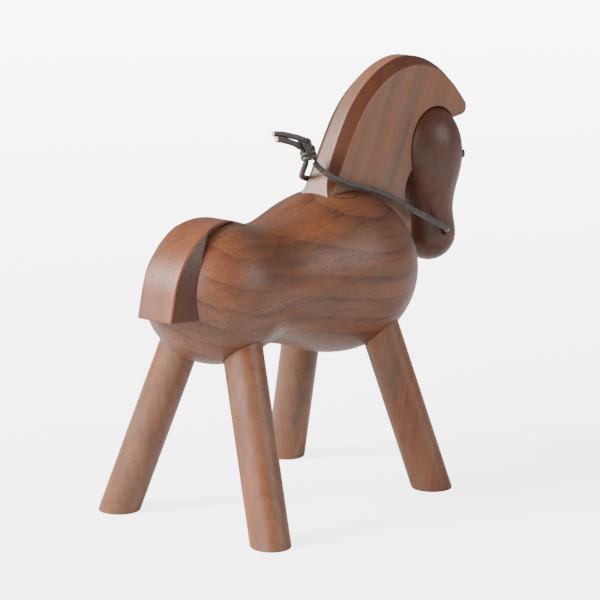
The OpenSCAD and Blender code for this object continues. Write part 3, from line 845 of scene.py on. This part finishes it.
def make_tail():
    """The tail, lofted from its upper end down to its level lower end. Its side stops a little
    above the rump and steps in, which leaves the narrow dark joint."""
    centre = Vector((TAIL_C[0], 0, TAIL_C[1]))
    low_angle = math.radians(180 - TAIL_LEAN)
    down = Vector((-math.sin(low_angle), 0, math.cos(low_angle)))

    def place(angle, run, r, y):
        return centre + Vector((r * math.cos(angle), y, r * math.sin(angle))) + down * run

    def half_width(angle, run, r):
        x = place(angle, run, r, 0).x
        return min(TAIL_HALF + TAIL_FLARE * (TAIL_R - r), tail_limit(x))

    def ring(angle, run_of, inset=0.0):
        """One section: run_of(r) is how far below the curve's end a fibre's point is."""
        def at(r, y):
            return place(angle, run_of(r), r, y)
        low, high = TAIL_R - TAIL_DEPTH, TAIL_R
        for _ in range(30):
            r = (low + high) / 2
            if torso_gap(at(r, half_width(angle, run_of(r), r))) > TAIL_GAP:
                high = r
            else:
                low = r
        foot_r = min(r, TAIL_R - 1.2 * TAIL_ROUND)
        side = []
        for k in range(9):
            q = foot_r + (TAIL_R - TAIL_ROUND - foot_r) * k / 8
            side.append((q, half_width(angle, run_of(q), q) - inset))
        back = half_width(angle, run_of(TAIL_R), TAIL_R) - inset
        top = TAIL_R - inset
        step = (foot_r, side[0][1] - 0.7)
        deep = (TAIL_R - TAIL_DEPTH, max(step[1] - 1.0, 1.0))
        corner = [(top - 0.12 * TAIL_ROUND, back - 0.25 * TAIL_ROUND), (top, back - TAIL_ROUND)]
        flat = [(top, (back - TAIL_ROUND) * (1 - k / 4)) for k in range(1, 4)]
        half = [deep, step] + side + corner + flat
        whole = half + [(top, 0.0)] + [(r_, -y_) for r_, y_ in reversed(half)]
        return [at(r_, y_) for r_, y_ in whole]

    first_angle = math.degrees(math.acos((TAIL_PLAN[-1][0] - TAIL_C[0]) / TAIL_R))
    last_angle = 180 - TAIL_LEAN
    rings = [ring(math.radians(first_angle + (last_angle - first_angle) * k / 36), lambda r: 0.0)
             for k in range(36)]

    def run_to(z, share):
        def run(r):
            end = (TAIL_C[1] + r * math.sin(low_angle) - z) / -down.z
            return end * share
        return run
    rings += [ring(low_angle, run_to(TAIL_LOW_Z, share)) for share in (0, 0.25, 0.5, 0.75, 0.9)]
    rings.append(ring(low_angle, run_to(TAIL_LOW_Z + 0.4, 1.0)))
    rings.append(ring(low_angle, run_to(TAIL_LOW_Z + 0.1, 1.0), 0.12))
    rings.append(ring(low_angle, run_to(TAIL_LOW_Z, 1.0), 0.4))
    width = len(rings[0])
    points = [p for r in rings for p in r]
    faces = [tuple(range(width))]
    for i in range(len(rings) - 1):
        a, b = i * width, (i + 1) * width
        faces += [(a + k, b + k, b + (k + 1) % width, a + (k + 1) % width) for k in range(width)]
    faces.append(tuple(reversed(range(len(points) - width, len(points)))))
    piece = mesh_piece("tail_body", points, faces, TAIL_SIDE_SHADED_WOOD)
    piece.data.materials.append(TAIL_BACK_LIT_WOOD)
    # the back's faces take the lighter copy of the walnut, painted light; the sides keep the darker
    # copy, painted shade
    for number, face in enumerate(piece.data.polygons[1:-1]):
        k = number % width
        if TAIL_BACK_FROM <= k < width - TAIL_BACK_FROM - 1:
            face.material_index = 1
    sharp = set()
    for i in range(len(rings) - 1):
        for k in (1, 2, width - 2, width - 3):
            sharp.add((i * width + k, (i + 1) * width + k))
    for edge in piece.data.edges:
        edge.use_edge_sharp = tuple(sorted(edge.vertices)) in sharp
    weighted_normals(piece)
    piece.modifiers[0].keep_sharp = True
    stands_for(piece, "tail_walnut", "tail")


# ---------------------------------------------------------------- eyes and dowels
EYE_D, EYE_L, EYE_PROUD, EYE_TURN, EYE_Z = 2.9, 6.0, 0.9, 51.0, 104.3


def make_eye(name, side):
    """A peg with a polished dome."""
    matrix = (Matrix.Translation((HEAD_C.x, 0, EYE_Z))
              @ Matrix.Rotation(side * math.radians(EYE_TURN), 4, "Z")
              @ Matrix.Rotation(math.pi / 2, 4, "Y")
              @ Matrix.Translation((0, 0, HEAD_R - EYE_L)))
    dome = 0.7
    profile = [(EYE_D / 2, 0.03)]
    profile += [(EYE_D / 2 * math.cos(a), EYE_L + EYE_PROUD - dome + dome * math.sin(a))
                for a in (math.pi / 2 * k / 10 for k in range(10))]
    piece = lathe(name + "_peg", profile, matrix, EYE_BLACK, 40)
    stands_for(piece, "eye_black", name)


# ---------------------------------------------------------------- making
make_rein()
make_torso()
make_head()
for leg_name in LEGS:
    make_leg(leg_name)
make_board()
make_tail()
make_eye("eye_left", 1)
make_eye("eye_right", -1)
for node_name in ("neck_dowel_rear", "neck_dowel_front", "head_dowel", "tail_dowel"):
    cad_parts[node_name].data.materials.clear()
    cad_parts[node_name].data.materials.append(BEECH)


# ---------------------------------------------------------------- floor and light
FLOOR_SIZE = 4.0
FLOOR_LIT, FLOOR_SHOWN = 0.02, (3.2, 8.4)
WORLD_LIT, WORLD_SHOWN = 0.42, 10.5


def shown_only(nodes, lit, shown):
    """A strength for the stage: one value for the light it gives and another for what the camera
    sees."""
    seen = nodes.add("ShaderNodeLightPath")
    return nodes.math("ADD", nodes.math("MULTIPLY", seen, nodes.math("SUBTRACT", shown, lit)), lit)


def make_floor():
    """A pale floor with a painted glow, seen only by the camera, that grows brighter away from the
    camera until it meets the backdrop.
    """
    size = FLOOR_SIZE
    mesh = bpy.data.meshes.new("floor")
    mesh.from_pydata([(-size, -size, 0), (size, -size, 0), (size, size, 0), (-size, size, 0)], [],
                     [(0, 1, 2, 3)])
    floor = link(bpy.data.objects.new("floor", mesh))
    material, nodes, shader = new_material("pale_floor_with_painted_glow")
    shader.inputs["Base Color"].default_value = (0.8, 0.8, 0.8, 1)
    shader.inputs["Roughness"].default_value = 0.9
    shader.inputs["Specular IOR Level"].default_value = 0.1
    shader.inputs["Emission Color"].default_value = (1, 1, 1, 1)
    place = nodes.add("ShaderNodeNewGeometry")
    away = nodes.vector("DOT_PRODUCT", place, (0.78, 0.63, 0), output=1)
    # painted glow: camera-only emission that grows brighter away from the camera
    shown = nodes.steps(away, -0.35, 1.6, FLOOR_SHOWN[0], FLOOR_SHOWN[1])
    nodes.tree.links.new(shown_only(nodes, FLOOR_LIT, shown), shader.inputs["Emission Strength"])
    mesh.materials.append(material)


def area_light(name, position, target, size, power):
    """A soft white light that the camera doesn't see. Its size is in metres, its power in watts."""
    data = bpy.data.lights.new(name, "AREA")
    data.shape = "RECTANGLE"
    data.size, data.size_y = size
    data.energy = power
    light = link(bpy.data.objects.new(name, data))
    light.location = position
    light.rotation_mode = "QUATERNION"
    light.rotation_quaternion = (Vector(position) - Vector(target)).to_track_quat("Z", "Y")
    light.visible_camera = False


def make_world():
    world = bpy.data.worlds.new("studio")
    world.use_nodes = True
    nodes = Nodes(world.node_tree)
    back = world.node_tree.nodes["Background"]
    back.inputs["Color"].default_value = (1, 1, 1, 1)
    world.node_tree.links.new(shown_only(nodes, WORLD_LIT, WORLD_SHOWN), back.inputs["Strength"])
    bpy.context.scene.world = world


make_floor()
make_world()
MIDDLE = (0, 0, 0.07)
area_light("window", (-1.2, 0.62, 0.85), MIDDLE, (0.6, 0.6), 78)
area_light("doorway", (-1.15, -0.2, 0.6), (0, 0, 0.1), (0.3, 0.9), 7)
area_light("fill", (0.5, -1.45, 0.8), MIDDLE, (1.0, 0.9), 15)
